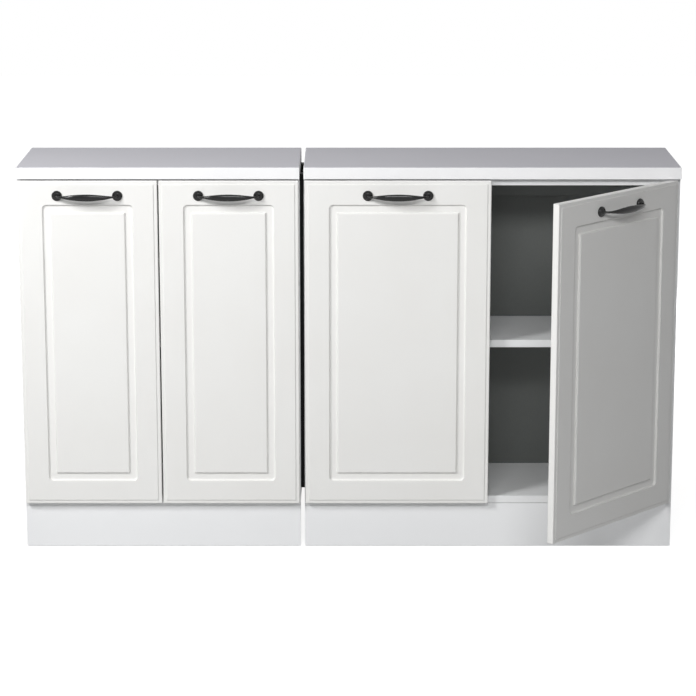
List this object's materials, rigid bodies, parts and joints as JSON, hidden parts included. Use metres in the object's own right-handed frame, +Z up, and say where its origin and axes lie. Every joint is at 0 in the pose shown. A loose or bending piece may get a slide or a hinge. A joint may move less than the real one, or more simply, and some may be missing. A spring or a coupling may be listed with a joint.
{
  "type": "kitchen base unit pair",
  "caption": "Two low, shallow white kitchen base units side by side with routed doors, bow handles, flat worktops and plinths; every door swings on concealed cup hinges.",
  "frame": {"origin": "on the floor, under the middle of the box round the whole object with its rightmost door standing open", "axes": "+X along the fronts to the right as seen from the front, +Y back towards the wall, +Z up"},
  "size_m": [1.409, 0.5474, 0.845],
  "materials": {
    "door_foil": "white satin foil on routed fibreboard",
    "carcass_white": "white melamine on particle board",
    "worktop_laminate": "very pale grey matt laminate with a white edge",
    "plinth_white": "white melamine on particle board",
    "back_board": "dark grey print on hardboard and on the rear rail",
    "handle_black": "satin black over zinc casting",
    "hinge_steel": "nickel-plated pressed steel",
    "screw_steel": "zinc-plated steel",
    "leg_plastic": "black moulded polypropylene",
    "bumper_clear": "clear soft polyurethane"
  },
  "bodies": {
    "cabinet": {"door_1_hinge_arms": "hinge_steel", "door_1_hinge_plates": "hinge_steel", "door_2_hinge_arms": "hinge_steel", "door_2_hinge_plates": "hinge_steel", "door_3_hinge_arms": "hinge_steel", "door_3_hinge_plates": "hinge_steel", "door_4_hinge_arms": "hinge_steel", "door_4_hinge_plates": "hinge_steel", "left_back_panel": "back_board", "left_bottom_panel": "carcass_white", "left_carcass_screws": "screw_steel", "left_front_rail": "carcass_white", "left_leg_feet": "leg_plastic", "left_leg_sockets": "leg_plastic", "left_plinth": "plinth_white", "left_plinth_clips": "leg_plastic", "left_rear_rail": "back_board", "left_shelf": "carcass_white", "left_shelf_pins": "screw_steel", "left_side_left": "carcass_white", "left_side_right": "carcass_white", "left_worktop": "worktop_laminate", "right_back_panel": "back_board", "right_bottom_panel": "carcass_white", "right_carcass_screws": "screw_steel", "right_front_rail": "carcass_white", "right_leg_feet": "leg_plastic", "right_leg_sockets": "leg_plastic", "right_plinth": "plinth_white", "right_plinth_clips": "leg_plastic", "right_rear_rail": "back_board", "right_shelf": "carcass_white", "right_shelf_pins": "screw_steel", "right_side_left": "carcass_white", "right_side_right": "carcass_white", "right_worktop": "worktop_laminate", "unit_connectors": "screw_steel", "unit_spacers": "leg_plastic"},
    "door_1": {"door_1_bumpers": "bumper_clear", "door_1_handle": "handle_black", "door_1_hinge_cups": "hinge_steel", "door_1_panel": "door_foil"},
    "door_1_links": {"door_1_hinge_links": "hinge_steel"},
    "door_2": {"door_2_bumpers": "bumper_clear", "door_2_handle": "handle_black", "door_2_hinge_cups": "hinge_steel", "door_2_panel": "door_foil"},
    "door_2_links": {"door_2_hinge_links": "hinge_steel"},
    "door_3": {"door_3_bumpers": "bumper_clear", "door_3_handle": "handle_black", "door_3_hinge_cups": "hinge_steel", "door_3_panel": "door_foil"},
    "door_3_links": {"door_3_hinge_links": "hinge_steel"},
    "door_4": {"door_4_bumpers": "bumper_clear", "door_4_handle": "handle_black", "door_4_hinge_cups": "hinge_steel", "door_4_panel": "door_foil"},
    "door_4_links": {"door_4_hinge_links": "hinge_steel"}
  },
  "joints": [
    {"name": "door_1_hinge", "type": "hinge", "parent": "cabinet", "child": "door_1", "pos_m": [-0.696, 0.00347, 0.46], "axis": [0, 0, -1], "range_deg": [0, 100]},
    {"name": "door_1_link_pivot", "type": "hinge", "parent": "cabinet", "child": "door_1_links", "pos_m": [-0.6585, 0.02417, 0.46], "axis": [0, 0, -1], "range_deg": [-40.51, 0.01]},
    {"name": "door_2_hinge", "type": "hinge", "parent": "cabinet", "child": "door_2", "pos_m": [-0.113, 0.00347, 0.46], "axis": [0, 0, 1], "range_deg": [0, 82]},
    {"name": "door_2_link_pivot", "type": "hinge", "parent": "cabinet", "child": "door_2_links", "pos_m": [-0.1505, 0.02417, 0.46], "axis": [0, 0, 1], "range_deg": [-33.22, 0.01]},
    {"name": "door_3_hinge", "type": "hinge", "parent": "cabinet", "child": "door_3", "pos_m": [-0.087, 0.00347, 0.46], "axis": [0, 0, -1], "range_deg": [0, 82]},
    {"name": "door_3_link_pivot", "type": "hinge", "parent": "cabinet", "child": "door_3_links", "pos_m": [-0.0495, 0.02417, 0.46], "axis": [0, 0, -1], "range_deg": [-33.22, 0.01]},
    {"name": "door_4_hinge", "type": "hinge", "parent": "cabinet", "child": "door_4", "pos_m": [0.696, 0.00347, 0.46], "axis": [0, 0, 1], "range_deg": [-45.6, 54.4]},
    {"name": "door_4_link_pivot", "type": "hinge", "parent": "cabinet", "child": "door_4_links", "pos_m": [0.6585, 0.02417, 0.46], "axis": [0, 0, 1], "range_deg": [-22.04, 18.48]}
  ],
  "couplings": [
    {"joint": "door_1_link_pivot", "follows": "door_1_hinge", "ratio": -0.405},
    {"joint": "door_2_link_pivot", "follows": "door_2_hinge", "ratio": -0.405},
    {"joint": "door_3_link_pivot", "follows": "door_3_hinge", "ratio": -0.405},
    {"joint": "door_4_link_pivot", "follows": "door_4_hinge", "ratio": -0.405}
  ]
}
